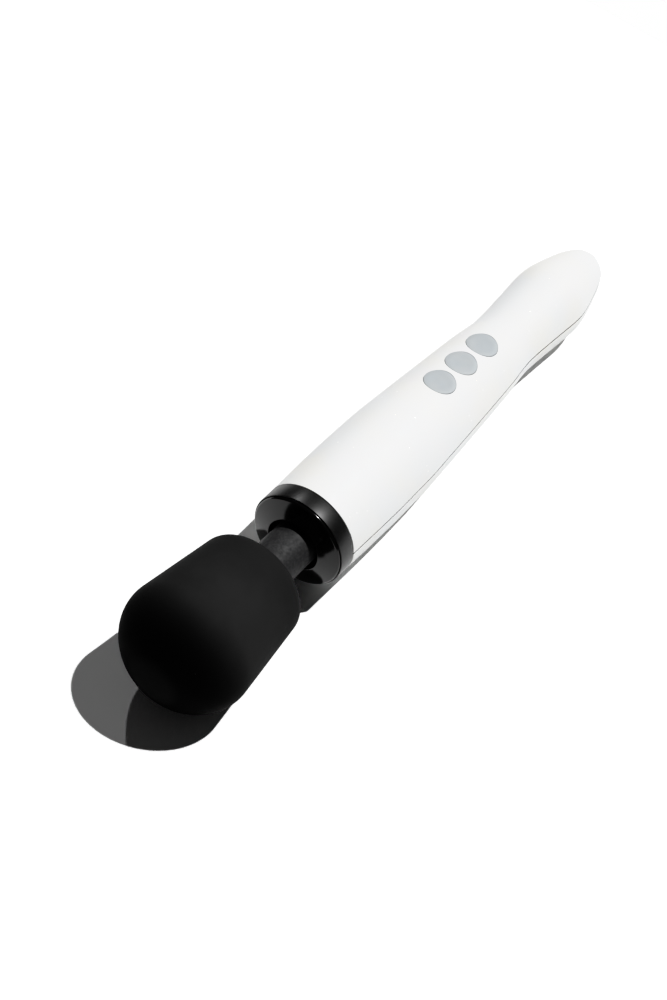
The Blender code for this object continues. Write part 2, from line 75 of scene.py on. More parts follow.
def smooth_curve(points):
    """Function of u through (u, radius) points that never overshoots them."""
    rises = [(b[1] - a[1]) / (b[0] - a[0]) for a, b in zip(points, points[1:])]
    slopes = [rises[0]] + [2 * a * b / (a + b) if a * b > 0 else 0.0 for a, b in zip(rises, rises[1:])]
    slopes.append(rises[-1])

    def radius(u):
        u = min(max(u, points[0][0]), points[-1][0])
        index = next((i for i in range(len(points) - 2) if u < points[i + 1][0]), len(points) - 2)
        (u0, r0), (u1, r1) = points[index], points[index + 1]
        length = u1 - u0
        t = (u - u0) / length
        return ((2 * t ** 3 - 3 * t ** 2 + 1) * r0 + (t ** 3 - 2 * t ** 2 + t) * length * slopes[index]
                + (3 * t ** 2 - 2 * t ** 3) * r1 + (t ** 3 - t ** 2) * length * slopes[index + 1])
    return radius


# ---------------------------------------------------------------- node materials
class Shader:
    """A Principled material with short helpers for wiring its procedural detail."""

    def __init__(self, name, colour, roughness, metallic=0.0, **sockets):
        self.material = bpy.data.materials.new(name)
        self.material.use_nodes = True
        self.tree = self.material.node_tree
        self.shader = self.tree.nodes["Principled BSDF"]
        self.set(self.shader, {"Base Color": (*colour, 1.0), "Roughness": roughness, "Metallic": metallic})
        self.set(self.shader, sockets)
        self.place = self.tree.nodes.new("ShaderNodeTexCoord").outputs["Object"]

    @staticmethod
    def set(node, values):
        for name, value in values.items():
            node.inputs[name].default_value = value

    def link(self, source, target):
        self.tree.links.new(source, target)

    def noise(self, scale, detail=3.0, roughness=0.5, stretch=(1, 1, 1)):
        mapping = self.tree.nodes.new("ShaderNodeMapping")
        mapping.inputs["Scale"].default_value = stretch
        self.link(self.place, mapping.inputs["Vector"])
        node = self.tree.nodes.new("ShaderNodeTexNoise")
        self.set(node, {"Scale": scale, "Detail": detail, "Roughness": roughness})
        self.link(mapping.outputs["Vector"], node.inputs["Vector"])
        return node.outputs["Fac"]

    def along(self):
        """The piece's own length, 0 at its lowest x and 1 at its highest."""
        place = self.tree.nodes.new("ShaderNodeTexCoord")
        axes = self.tree.nodes.new("ShaderNodeSeparateXYZ")
        self.link(place.outputs["Generated"], axes.inputs["Vector"])
        return axes.outputs["X"]

    def specks(self, scale, size, share):
        """Sparse round dots: 1 inside a dot, 0 outside; share of the cells hold one."""
        cells = self.tree.nodes.new("ShaderNodeTexVoronoi")
        self.set(cells, {"Scale": scale, "Randomness": 1.0})
        self.link(self.place, cells.inputs["Vector"])
        near = self.ramp(cells.outputs["Distance"], size * 0.5, size, (1, 0))
        split = self.tree.nodes.new("ShaderNodeSeparateColor")
        self.link(cells.outputs["Color"], split.inputs["Color"])
        chosen = self.ramp(split.outputs["Red"], share * 0.9, share, (1, 0))
        return self.maths("MULTIPLY", near, chosen)

    def ramp(self, source, low, high, values):
        node = self.tree.nodes.new("ShaderNodeMapRange")
        node.interpolation_type = "SMOOTHSTEP"
        self.set(node, {"From Min": low, "From Max": high, "To Min": values[0], "To Max": values[1]})
        self.link(source, node.inputs["Value"])
        return node.outputs["Result"]

    def maths(self, operation, first, second):
        node = self.tree.nodes.new("ShaderNodeMath")
        node.operation = operation
        for socket, value in zip(node.inputs, (first, second)):
            if isinstance(value, (int, float)):
                socket.default_value = value
            else:
                self.link(value, socket)
        return node.outputs["Value"]

    def blend(self, factor, first, second):
        node = self.tree.nodes.new("ShaderNodeMix")
        node.data_type = "RGBA"
        for socket, value in ((node.inputs[0], factor), (node.inputs[6], first), (node.inputs[7], second)):
            if isinstance(value, (int, float)):
                socket.default_value = value
            elif isinstance(value, tuple):
                socket.default_value = (*value, 1.0)
            else:
                self.link(value, socket)
        return node.outputs[2]

    def colour(self, source):
        self.link(source, self.shader.inputs["Base Color"])

    def roughness(self, source, low, high, values):
        self.link(self.ramp(source, low, high, values), self.shader.inputs["Roughness"])

    def bump(self, source, strength, distance):
        node = self.tree.nodes.new("ShaderNodeBump")
        self.set(node, {"Strength": strength, "Distance": distance})
        self.link(source, node.inputs["Height"])
        self.link(node.outputs["Normal"], self.shader.inputs["Normal"])


def pearl_white():
    s = Shader("pearl_white", (0.675, 0.675, 0.67), 0.6,
               **{"Specular IOR Level": 0.5, "Sheen Weight": 0.12, "Sheen Roughness": 0.5})
    tint = s.blend(s.ramp(s.noise(38, 2), 0.35, 0.65, (0, 1)), (0.664, 0.676, 0.682), (0.688, 0.682, 0.652))
    tint = s.blend(s.ramp(s.noise(61, 2), 0.55, 0.72, (0, 0.5)), tint, (0.68, 0.66, 0.68))
    s.colour(s.blend(s.specks(210, 0.1, 0.4), tint, (0.9, 0.895, 0.87)))
    s.roughness(s.noise(90, 4), 0.3, 0.7, (0.56, 0.66))
    s.bump(s.noise(260, 2), 0.03, 0.0002)
    return s.material


def button_grey():
    s = Shader("button_grey", (0.36, 0.375, 0.386), 0.5, **{"Specular IOR Level": 0.35})
    s.colour(s.blend(s.ramp(s.noise(120, 3), 0.3, 0.7, (0, 1)), (0.35, 0.37, 0.382), (0.368, 0.381, 0.388)))
    s.roughness(s.noise(300, 4), 0.3, 0.7, (0.45, 0.55))
    s.bump(s.noise(2600, 2), 0.06, 0.0001)
    return s.material


def gloss_black(name, roughness, specular=0.5):
    s = Shader(name, (0.003, 0.003, 0.003), roughness, **{"Specular IOR Level": specular})
    s.colour(s.blend(s.specks(700, 0.05, 0.1), (0.003, 0.003, 0.003), (0.02, 0.02, 0.02)))
    s.roughness(s.noise(900, 4), 0.3, 0.7, (roughness - 0.012, roughness + 0.012))
    s.bump(s.noise(2500, 3), 0.03, 0.0001)
    return s.material


def neck_rubber():
    s = Shader("neck_rubber", (0.016, 0.016, 0.0165), 0.62, **{"Specular IOR Level": 0.24})
    mottle = s.ramp(s.noise(900, 3), 0.35, 0.7, (0, 1))
    s.colour(s.blend(mottle, (0.012, 0.012, 0.0125), (0.022, 0.022, 0.0225)))
    s.roughness(s.noise(500, 3), 0.3, 0.7, (0.55, 0.7))
    s.bump(s.noise(3500, 2), 0.2, 0.0001)
    return s.material


def head_silicone():
    s = Shader("head_silicone", (0.012, 0.012, 0.012), 0.7, **{"IOR": 1.08})
    base = s.blend(s.ramp(s.noise(26, 4), 0.4, 0.7, (0, 1)), (0.016, 0.016, 0.016), (0.02, 0.02, 0.02))
    # Painted shade over the dome, lifted a little at the tip: fitted to brightness, not a known feature
    along = s.along()
    base = s.blend(s.ramp(along, 0.58, 0.92, (0, 1)), base, (0.0022, 0.0022, 0.0022))
    base = s.blend(s.ramp(along, 0.96, 0.99, (0, 1)), base, (0.0105, 0.0105, 0.0105))
    s.colour(s.blend(s.specks(240, 0.055, 0.12), base, (0.16, 0.16, 0.16)))
    s.roughness(s.noise(60, 4), 0.3, 0.7, (0.65, 0.75))
    s.bump(s.noise(2800, 2), 0.1, 0.0001)
    return s.material


def moulded_plastic(name, colour, roughness=0.45):
    s = Shader(name, colour, roughness)
    lighter = tuple(min(1.0, c * 1.25 + 0.004) for c in colour)
    s.colour(s.blend(s.ramp(s.noise(160, 3), 0.35, 0.7, (0, 1)), colour, lighter))
    s.roughness(s.noise(400, 3), 0.3, 0.7, (roughness - 0.06, roughness + 0.08))
    s.bump(s.noise(2000, 2), 0.1, 0.0001)
    return s.material


def metal(name, colour, roughness=0.3, stretch=(1, 1, 1)):
    """Metal with fine turning or drawing marks, which run across the stretched way."""
    s = Shader(name, colour, roughness, 1.0)
    darker = tuple(c * 0.8 for c in colour)
    marks = s.noise(700, 4, 0.6, stretch)
    s.colour(s.blend(s.ramp(marks, 0.3, 0.75, (0, 1)), darker, colour))
    s.roughness(marks, 0.3, 0.7, (roughness - 0.08, roughness + 0.12))
    s.bump(marks, 0.08, 0.0001)
    return s.material


# ---------------------------------------------------------------- meshes
def add_piece(name, mesh, material, body, *nodes, slot, inside=None):
    """A finished piece, drawn in wand millimetres, that rides on a body in place of CAD nodes."""
    mesh.transform(WAND @ Matrix.Scale(MM, 4))
    mesh.materials.append(material)
    if inside:
        mesh.materials.append(inside)
    piece = bpy.data.objects.new(name, mesh)
    bpy.context.scene.collection.objects.link(piece)
    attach(piece, body)
    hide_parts(*nodes)
    return piece


def mesh_from(name, vertices, faces, second=()):
    """Smooth-shaded mesh; corners that coincide are made one, and folded faces dropped.

    The faces numbered in second take the piece's second material.
    """
    shape = bmesh.new()
    made = [shape.verts.new(v) for v in vertices]
    for number, face in enumerate(faces):
        shape.faces.new([made[i] for i in face]).material_index = int(number in second)
    bmesh.ops.remove_doubles(shape, verts=shape.verts, dist=0.0005)
    bmesh.ops.recalc_face_normals(shape, faces=shape.faces)
    mesh = bpy.data.meshes.new(name)
    shape.to_mesh(mesh)
    shape.free()
    mesh.shade_smooth()
    mesh.set_sharp_from_angle(angle=SHARP_ANGLE)
    return mesh


def arc(centre, radii, start, end, count):
    """(radius, u) points of an elliptical arc; angles in degrees from the radial direction."""
    angles = [math.radians(start + (end - start) * i / count) for i in range(count + 1)]
    return [(centre[0] + radii[0] * math.cos(a), centre[1] + radii[1] * math.sin(a)) for a in angles]


def rounded(corners, size, count=4):
    """A closed outline with each of its corners rounded by about size."""
    result = []
    for before, corner, after in zip(corners[-1:] + corners[:-1], corners, corners[1:] + corners[:1]):
        here, back, on = Vector(corner), Vector(before), Vector(after)
        start = here + (back - here).normalized() * min(size, (back - here).length * 0.45)
        end = here + (on - here).normalized() * min(size, (on - here).length * 0.45)
        for i in range(count + 1):
            t = i / count
            result.append(tuple(start * (1 - t) ** 2 + here * 2 * t * (1 - t) + end * t ** 2))
    return result


def turned(name, outline, steps=144):
    """Turn closed (radius, u) points about the wand's axis."""
    count = len(outline)
    vertices = []
    for step in range(steps):
        angle = math.tau * step / steps
        vertices += [(u, radius * math.sin(angle), radius * math.cos(angle)) for radius, u in outline]
    faces = []
    for step in range(steps):
        here, there = step * count, (step + 1) % steps * count
        for i in range(count):
            following = (i + 1) % count
            faces.append((here + i, here + following, there + following, there + i))
    return mesh_from(name, vertices, faces)


def ring_faces(rings, steps):
    """Quads that join each ring of this many points to the next one."""
    faces = []
    for here in range(0, (rings - 1) * steps, steps):
        there = here + steps
        faces += [(here + i, here + (i + 1) % steps, there + (i + 1) % steps, there + i)
                  for i in range(steps)]
    return faces


# ---------------------------------------------------------------- handle shells
HANDLE_OUTLINE = ((0.7, 6.2), (6, 10.3), (20, 15.1), (40, 18.6), (60, 17.5), (80, 16.6), (100, 18.4),
                  (130, 20.5), (155, 22.1), (175, 23.2), (200, 23.5), (232.4, 22.95))
HANDLE_START, HANDLE_END = HANDLE_OUTLINE[0][0], HANDLE_OUTLINE[-1][0]
WALL = 2.0
TAIL_HOLE = 5.5
SEAM = 2.45                   # height of the joint between the shells
SEAM_GAP = 0.6                # wider than the CAD's, so that it shows as a line
LOWER_PROUD = 0.06            # of the lower shell beyond the upper one, to keep the line in sight from above
LIP = 0.15                    # rounding of the shells' edges
DECK_U = 121.2                # the middle button
BUTTON_SPACING = 17.9
BUTTON_RADIUS = 7.6
BUTTON_OPENING = 7.68
BAND = 9.2                    # half width of the evenly spaced columns under the buttons
BAND_LIMIT = 0.6              # the most of the radius that BAND may be, where the handle is thin
SCREW_PLACES = [(20.0, -7.0), (20.0, 7.0), (160.5, -13.0), (160.5, 13.0)]
SCREW_RECESS, SCREW_POST, SCREW_BORE = 2.7, 3.1, 1.3
SCREW_SEAT = 8.0              # depth of the screw heads' seats, from the axis
SCREW_MARGIN = 2.2            # of the mesh that is cut away round a screw's recess
TAIL_CELLS, FRONT_CELLS = 70, 72
TAIL_CROWDING = 1.35          # above 1, the cells are shorter towards the tail
SIDE_CELLS = 22
BAND_CELLS = 20
LIP_STEPS = 4
HEIGHT_ROUNDS = 8             # of closing in on the height of the outline
HOLE_RINGS = (0.3, 0.6, 0.8, 0.92, 1.0)   # from the grid's cut edge to the rim of a hole

handle_radius = smooth_curve(HANDLE_OUTLINE)


class Plane:
    """A drawing plane: x along the wand, y sideways and z out of the handle."""

    def __init__(self, origin, slope, side):
        self.origin = Vector(origin)
        self.x = Vector((math.cos(slope), 0, math.sin(slope)))
        self.y = Vector((0, 1, 0))
        self.z = Vector((-math.sin(slope), 0, math.cos(slope))) * side

    def at(self, x, y, z):
        return self.origin + self.x * x + self.y * y + self.z * z

    def of(self, point):
        offset = point - self.origin
        return offset.dot(self.x), offset.dot(self.y)

    def height(self, x, y, inset):
        """Height at which a line along z meets the handle's outline, drawn in by inset."""
        z = 0.0 if self.origin.z else handle_radius(self.origin.x)
        for _ in range(HEIGHT_ROUNDS):
            point = self.at(x, y, z)
            off_axis = math.hypot(point.y, point.z)
            z -= (off_axis - shell_radius(point.x, inset)) * off_axis / abs(point.z)
        return z

    def onto(self, x, y, inset):
        return self.at(x, y, self.height(x, y, inset))


def deck_plane():
    rise = handle_radius(DECK_U + BUTTON_SPACING) - handle_radius(DECK_U - BUTTON_SPACING)
    return Plane((DECK_U, 0, handle_radius(DECK_U)), math.atan2(rise, 2 * BUTTON_SPACING), 1)


def shell_radius(u, inset):
    return max(TAIL_HOLE, handle_radius(u) - inset)


def end_rounding(u):
    """How far the outside draws in, close to the handle's two ends."""
    depth = LIP - min(LIP, u - HANDLE_START, HANDLE_END - u)
    return LIP - math.sqrt(LIP ** 2 - depth ** 2)


def stations():
    """Stations along the handle: close together at its ends and one cell long under the buttons."""
    ends = [LIP * (1 - math.cos(math.pi / 2 * i / LIP_STEPS)) for i in range(LIP_STEPS + 1)]
    deck = (DECK_U - 1.5 * BUTTON_SPACING, DECK_U + 1.5 * BUTTON_SPACING)
    start, end = HANDLE_START + LIP, HANDLE_END - LIP
    tail = [start + (deck[0] - HANDLE_START - LIP) * (i / TAIL_CELLS) ** TAIL_CROWDING
            for i in range(TAIL_CELLS + 1)]
    middle = [deck[0] + BUTTON_SPACING * i / BAND_CELLS for i in range(1, 3 * BAND_CELLS)]
    front = [deck[1] + (end - deck[1]) * i / FRONT_CELLS for i in range(FRONT_CELLS + 1)]
    first = [HANDLE_START + e for e in ends[:-1]]
    last = [HANDLE_END - e for e in ends[-2::-1]]
    return first + tail + middle + front + last


def columns(radius, edge):
    """Angles from the middle of a shell to its edges, at an outline of this radius."""
    limit = math.acos(edge / radius)
    band = math.asin(min(BAND / radius, BAND_LIMIT))
    half = [band * 2 * i / BAND_CELLS for i in range(BAND_CELLS // 2 + 1)]
    half += [band + (limit - band) * i / SIDE_CELLS for i in range(1, SIDE_CELLS + 1)]
    return [-angle for angle in half[:0:-1]] + half


def round_holes(side, deck):
    """Each hole as (plane, centre, radius outside, radius inside, steps between them)."""
    if side > 0:
        return [(deck, (place * BUTTON_SPACING, 0.0), BUTTON_OPENING, BUTTON_OPENING, [])
                for place in (1, 0, -1)]
    post_end = SEAM_GAP / 2 - SEAM
    steps = [(SCREW_RECESS, SCREW_SEAT), (SCREW_BORE, SCREW_SEAT),
             (SCREW_BORE, post_end), (SCREW_POST, post_end)]
    return [(Plane((u, 0, 0), 0.0, -1), (0.0, y), SCREW_RECESS, SCREW_POST, steps) for u, y in SCREW_PLACES]


def nearest(values, wanted):
    return min(range(len(values)), key=lambda i: abs(values[i] - wanted))


class Shell:
    """Half of the handle: side is 1 for the upper shell and -1 for the lower one."""

    def __init__(self, side):
        self.side = side
        self.edge = side * SEAM + SEAM_GAP / 2
        self.skin = 0.0 if side > 0 else -LOWER_PROUD
        self.rows = stations()
        self.vertices, self.faces = [], []
        self.skipped = set()
        self.inside_seam = []
        self.outer, self.inner = self.sheet(self.skin), self.sheet(WALL)

    def add(self, point):
        self.vertices.append(point)
        return len(self.vertices) - 1

    def bridge(self, first, second, closed=False):
        pairs = list(zip(first, second))
        for (a, b), (c, d) in zip(pairs, pairs[1:] + (pairs[:1] if closed else [])):
            self.faces.append((a, b, d, c))

    def sheet(self, inset):
        """Rows of vertices over the whole shell, drawn in by inset."""
        grid = []
        outside = inset == self.skin
        for u in self.rows:
            radius = shell_radius(u, inset)
            if outside:
                radius -= end_rounding(u)
            angles = columns(radius, self.edge + (LIP if outside else 0))
            grid.append([self.add(Vector((u, radius * math.sin(a), self.side * radius * math.cos(a))))
                         for a in angles])
        return grid

    def patch(self, plane, centre, radius):
        """Cut the grid's cells around a hole: first and last row, left and right column."""
        u, y = plane.at(*centre, 0).x, centre[1]
        along = BUTTON_SPACING / 2 if self.side > 0 else radius + SCREW_MARGIN
        across = BAND if self.side > 0 else along
        first, last = nearest(self.rows, u - along), nearest(self.rows, u + along)
        spread = [self.vertices[i].y for i in self.outer[nearest(self.rows, u)]]
        left, right = nearest(spread, y - across), nearest(spread, y + across)
        self.skipped |= {(i, j) for i in range(first, last) for j in range(left, right)}
        return first, last, left, right

    def hole_rim(self, plane, centre, border, angles, inset, size):
        """Rings from the cut edge of a grid to a round hole, and over its rounded rim."""
        spots = [plane.of(self.vertices[i]) for i in border]
        loop = border
        for share in HOLE_RINGS:
            ring = []
            for spot, angle in zip(spots, angles):
                x = spot[0] + (centre[0] + size * math.cos(angle) - spot[0]) * share
                y = spot[1] + (centre[1] + size * math.sin(angle) - spot[1]) * share
                ring.append(self.add(plane.onto(x, y, inset)))
            self.bridge(loop, ring, True)
            loop = ring
        for step in range(1, LIP_STEPS + 1):
            turn = math.pi / 2 * step / LIP_STEPS
            drop = LIP * (1 - math.cos(turn)) * (1 if inset == self.skin else -1)
            out = size - LIP * math.sin(turn)
            ring = []
            for angle in angles:
                x, y = centre[0] + out * math.cos(angle), centre[1] + out * math.sin(angle)
                ring.append(self.add(plane.at(x, y, plane.height(x, y, inset) - drop)))
            self.bridge(loop, ring, True)
            loop = ring
        return loop

    def hole(self, plane, centre, radius, inner_radius, steps):
        first, last, left, right = self.patch(plane, centre, radius)
        borders = []
        for grid in (self.outer, self.inner):
            border = [grid[first][j] for j in range(left, right)]
            border += [grid[i][right] for i in range(first, last)]
            border += [grid[last][j] for j in range(right, left, -1)]
            border += [grid[i][left] for i in range(last, first, -1)]
            borders.append(border)
        spots = [plane.of(self.vertices[i]) for i in borders[0]]
        angles = [math.atan2(spot[1] - centre[1], spot[0] - centre[0]) for spot in spots]
        loop = self.hole_rim(plane, centre, borders[0], angles, self.skin, radius + LIP)
        inner_loop = self.hole_rim(plane, centre, borders[1], angles, WALL, inner_radius + LIP)
        for size, height in steps:
            ring = [self.add(plane.at(centre[0] + size * math.cos(a), centre[1] + size * math.sin(a), height))
                    for a in angles]
            self.bridge(loop, ring, True)
            loop = ring
        self.bridge(loop, inner_loop, True)

    def cover(self):
        """Faces of the two grids, apart from the cells that the holes cut away."""
        for grid in (self.outer, self.inner):
            for i, (row, following) in enumerate(zip(grid, grid[1:])):
                for j in range(len(row) - 1):
                    if (i, j) not in self.skipped:
                        self.faces.append((row[j], row[j + 1], following[j + 1], following[j]))

    def seam_edge(self, j):
        """The seam's rounded edge and its inside, coloured near-black as painted shade, along the first or
        the last column.
        """
        strips = [[row[j] for row in self.outer]]
        points = [self.vertices[i] for i in strips[0]]
        inwards = -1 if points[0].y > 0 else 1
        for step in range(1, LIP_STEPS + 1):
            turn = math.pi / 2 * step / LIP_STEPS
            shift = Vector((0, LIP * (1 - math.cos(turn)) * inwards, -self.side * LIP * math.sin(turn)))
            strips.append([self.add(point + shift) for point in points])
        strips.append([row[j] for row in self.inner])
        for strip, following in zip(strips, strips[1:]):
            # The last strip, inside the gap, takes the second material: the painted shade
            if following is strips[-1]:
                self.inside_seam += range(len(self.faces), len(self.faces) + len(strip) - 1)
            self.bridge(strip, following)
        # The corners that the rounded edge leaves in the two end faces
        self.faces += [tuple(strip[i] for strip in strips) for i in (0, -1)]

    def end_face(self, i):
        outer, inner = self.outer[i], self.inner[i]
        self.faces += [(outer[j], outer[j + 1], inner[j + 1], inner[j]) for j in range(len(outer) - 1)]


def shell_mesh(name, side, holes):
    shell = Shell(side)
    for hole in holes:
        shell.hole(*hole)
    shell.cover()
    for column in (0, -1):
        shell.seam_edge(column)
    for row in (0, -1):
        shell.end_face(row)
    return mesh_from(name, shell.vertices, shell.faces, second=set(shell.inside_seam))


def flatten_rest(mesh):
    """Press the wand's resting flat into the underside, at floor level."""
    to_world = WAND @ Matrix.Scale(MM, 4)
    back = to_world.inverted()
    for vertex in mesh.vertices:
        place = to_world @ vertex.co
        if place.z < 0:
            vertex.co = back @ Vector((place.x, place.y, 0.0))


def make_shells(deck, white):
    # Near-black painted shade inside the seam's gap, where the white plastic lies in shade
    joint = moulded_plastic("seam_painted_shade", (0.01, 0.01, 0.01), 0.8)
    add_piece("upper_casing", shell_mesh("upper_casing", 1, round_holes(1, deck)), white,
              "handle", "upper_shell", slot="white_shell", inside=joint)
    lower = shell_mesh("lower_casing", -1, round_holes(-1, deck))
    flatten_rest(lower)
    add_piece("lower_casing", lower, white, "handle", "lower_shell", slot="white_shell", inside=joint)


# ---------------------------------------------------------------- buttons
CAP_SUNK = 0.05               # of a cap's middle line under the handle's surface
CAP_PROUD = 0.42              # of a cap's sides above the handle's curve
CAP_EDGE = 0.22
DISH_RADIUS, DISH_DEPTH = 6.75, 0.55
DISH_CELLS = 18
DISH_SHAPE = 1.6              # above 1, the dish is flatter in its middle
CAP_SKIRT, CAP_FLANGE, CAP_BACK = -4.45, -5.25, -5.45   # heights under the deck
FLANGE_RADIUS, STEM_RADIUS = 8.3, 1.6


def cap_height(deck, x, y):
    """Top of a cap before its dish: flush along the handle, and proud at the sides, where it is flatter."""
    return deck.height(x, y, 0.0) - CAP_SUNK + CAP_PROUD * (y / BUTTON_RADIUS) ** 2


def button_mesh(name, deck, place):
    """A cap flatter than the handle, with a soft rim around a shallow dish for the finger."""
    steps, edge_steps = 112, 6
    profile = []
    for i in range(DISH_CELLS + 1):
        share = i / DISH_CELLS
        sunk = DISH_DEPTH * (0.5 + 0.5 * math.cos(math.pi * share ** DISH_SHAPE))
        profile.append((DISH_RADIUS * i / DISH_CELLS, sunk))
    profile += [(DISH_RADIUS + 0.2, 0.0), (DISH_RADIUS + 0.4, 0.0)]
    for i in range(edge_steps + 1):
        turn = math.pi / 2 * i / edge_steps
        radius = BUTTON_RADIUS - CAP_EDGE + CAP_EDGE * math.sin(turn)
        profile.append((radius, CAP_EDGE * (1 - math.cos(turn))))
    below = [(BUTTON_RADIUS, CAP_SKIRT), (FLANGE_RADIUS, CAP_SKIRT), (FLANGE_RADIUS, CAP_FLANGE),
             (STEM_RADIUS, CAP_FLANGE), (STEM_RADIUS, CAP_BACK), (0.0, CAP_BACK)]
    vertices = []
    for radius, sunk in profile:
        for step in range(steps):
            angle = math.tau * step / steps
            x, y = place + radius * math.cos(angle), radius * math.sin(angle)
            vertices.append(deck.at(x, y, cap_height(deck, x, y) - sunk))
    for radius, height in below:
        for step in range(steps):
            angle = math.tau * step / steps
            vertices.append(deck.at(place + radius * math.cos(angle), radius * math.sin(angle), height))
    return mesh_from(name, vertices, ring_faces(len(profile) + len(below), steps))


def make_buttons(deck, grey):
    for index in range(3):
        name = f"button_{index + 1}"
        cap = button_mesh(f"{name}_keycap", deck, (1 - index) * BUTTON_SPACING)
        add_piece(f"{name}_keycap", cap, grey, name, f"button_cap_{index + 1}", slot="button_grey")


# ---------------------------------------------------------------- collar, neck and head
NECK_RADIUS = 10.57
HEAD_RADIUS = 30.0
HEAD_REAR = 268.6
LENGTH = 340.0
DOME_DEPTH = 24.4
HEAD_TAPER = math.radians(6.7)
SHOULDER = 7.5
REAR_OPENING = 14.0
SKIN = 3.2
FLANK_CELLS = 14


def collar_band_outline():
    """A band that tapers a little, with a spigot behind and a pocket for the face in front."""
    bore, spigot, pocket = 13.0, 20.65, 17.8
    start, step, seat = 224.0, 228.7, 239.2
    back, front = 232.85, 240.9
    back_radius, front_radius, rim = 22.95, 22.88, 22.5
    back_edge, front_edge, rim_edge = 0.15, 0.28, 0.07
    outline = [(bore, start), (spigot, start), (spigot, back)]
    outline += arc((back_radius - back_edge, back + back_edge), (back_edge, back_edge), -90, 0, 4)
    outline += arc((front_radius - front_edge, front - front_edge), (front_edge, front_edge), 0, 90, 8)
    outline += arc((rim + rim_edge, front - rim_edge), (rim_edge, rim_edge), 90, 180, 4)
    return outline + [(rim, seat), (pocket, seat), (pocket, step), (bore, step)]


def collar_face_outline():
    """A shallow cone, slightly domed, that rolls over at its outer edge."""
    inner, outer = (12.95, 244.62), (21.35, 242.25)
    doming, cells, roll = 0.12, 20, 1.2
    hole, hole_back = 12.57, 242.7
    hole_edge, hole_edge_centre = 0.4, (12.97, 244.22)
    pocket, seat = 18.0, 239.5
    run, fall = outer[0] - inner[0], outer[1] - inner[1]
    slope = [(inner[0] + run * i / cells,
              inner[1] + fall * i / cells + doming * math.sin(math.pi * i / cells)) for i in range(cells + 1)]
    outline = [(hole, hole_back)] + arc(hole_edge_centre, (hole_edge, hole_edge), 180, 90, 5)[:-1] + slope
    lean = 90 - math.degrees(math.atan2(-fall, run))
    centre = (outer[0] - roll * math.cos(math.radians(lean)), outer[1] - roll * math.sin(math.radians(lean)))
    outline += arc(centre, (roll, roll), lean, 0, 10)[1:]
    return outline + [(outline[-1][0], seat), (pocket, seat)]


def make_collar(band_black, face_black):
    add_piece("collar_band", turned("collar_band", collar_band_outline(), 192), band_black, "handle",
              "collar_ring", slot="black_gloss")
    add_piece("collar_face", turned("collar_face", collar_face_outline(), 192), face_black, "handle",
              "collar_cone", slot="black_gloss")


def make_neck(rubber):
    start, end, bore, edge, cells = 238.8, HEAD_REAR, 9.1, 0.4, 12
    outline = [(bore, start), (NECK_RADIUS - edge, start)]
    outline += arc((NECK_RADIUS - edge, start + edge), (edge, edge), -60, 0, 3)
    outline += [(NECK_RADIUS, start + edge + (end - start - edge) * i / cells) for i in range(1, cells + 1)]
    outline.append((bore, end))
    add_piece("neck_boot", turned("neck_boot", outline), rubber, "head", "neck_sleeve", slot="dark_rubber")


def head_outline(inset, count):
    """The head's outline, drawn inwards by inset, from its rear face to its tip."""
    radius, depth, fillet = HEAD_RADIUS - inset, DOME_DEPTH - inset, SHOULDER - inset * 0.6
    dome_centre = LENGTH - DOME_DEPTH
    # Where the dome's ellipse runs into the taper
    meet = math.degrees(math.atan2(math.tan(HEAD_TAPER) * depth / radius, 1.0))
    dome = arc((0.0, dome_centre), (radius, depth), -meet, 90, count)
    rear = HEAD_REAR + inset
    edge_u = rear + fillet - fillet * math.sin(HEAD_TAPER)
    edge_r = dome[0][0] - (dome[0][1] - edge_u) * math.tan(HEAD_TAPER)
    centre = (edge_r - fillet * math.cos(HEAD_TAPER), rear + fillet)
    shoulder = arc(centre, (fillet, fillet), -90, -math.degrees(HEAD_TAPER), count // 3)
    run, rise = dome[0][0] - edge_r, dome[0][1] - edge_u
    side = [(edge_r + run * i / FLANK_CELLS, edge_u + rise * i / FLANK_CELLS) for i in range(1, FLANK_CELLS)]
    return [(REAR_OPENING, rear)] + shoulder + side + dome


def make_head(silicone):
    outline = head_outline(0.0, 40) + head_outline(SKIN, 24)[::-1]
    add_piece("massage_head", turned("massage_head", outline, 192), silicone, "head", "silicone_cap",
              slot="black_silicone")


# ---------------------------------------------------------------- tail inlet and screws
def make_inlet(plastic):
    inner, outer, depth, edge = 3.25, 5.2, 2.5, 0.35
    bezel = rounded([(inner, 0.0), (outer, 0.0), (outer, depth), (inner, depth)], edge)
    add_piece("inlet_trim", turned("inlet_trim", bezel, 96), plastic, "handle", "inlet_bezel",
              slot="black_plastic")


def screw_mesh(name, u, y):
    """Pan head with a hexagonal recess, and a plain shank, standing under the handle."""
    top, head, shank, tip = -8.3, 2.2, 1.0, 6.6
    head_height, recess_height, crown = 1.8, 1.78, 1.75
    head_edge, edge_height = 0.45, 1.35
    hexagon, socket_floor, point = 1.15, 0.7, 0.6
    steps, edge_steps = 48, 4
    vertices = []

    def ring(radius, height, six=False):
        for step in range(steps):
            angle = math.tau * step / steps
            size = radius
            if six:
                size = radius * math.cos(math.pi / 6) / math.cos((angle % (math.pi / 3)) - math.pi / 6)
            vertices.append(Vector((u + size * math.cos(angle), y + size * math.sin(angle), height)))

    ring(0.0, top - socket_floor)
    ring(hexagon, top - socket_floor, True)
    ring(hexagon, top - recess_height, True)
    ring(crown, top - head_height)
    for i in range(1, edge_steps + 1):
        turn = math.pi / 2 * i / edge_steps
        ring(head - head_edge + head_edge * math.sin(turn), top - edge_height - head_edge * math.cos(turn))
    ring(head, top)
    ring(shank, top)
    ring(shank, tip - point)
    ring(0.0, tip)
    return mesh_from(name, vertices, ring_faces(len(vertices) // steps, steps))


def make_shell_screws(steel):
    for index, (u, y) in enumerate(SCREW_PLACES):
        name = f"casing_screw_{index + 1}"
        add_piece(name, screw_mesh(name, u, y), steel, "handle", f"shell_screw_{index + 1}", slot="steel")


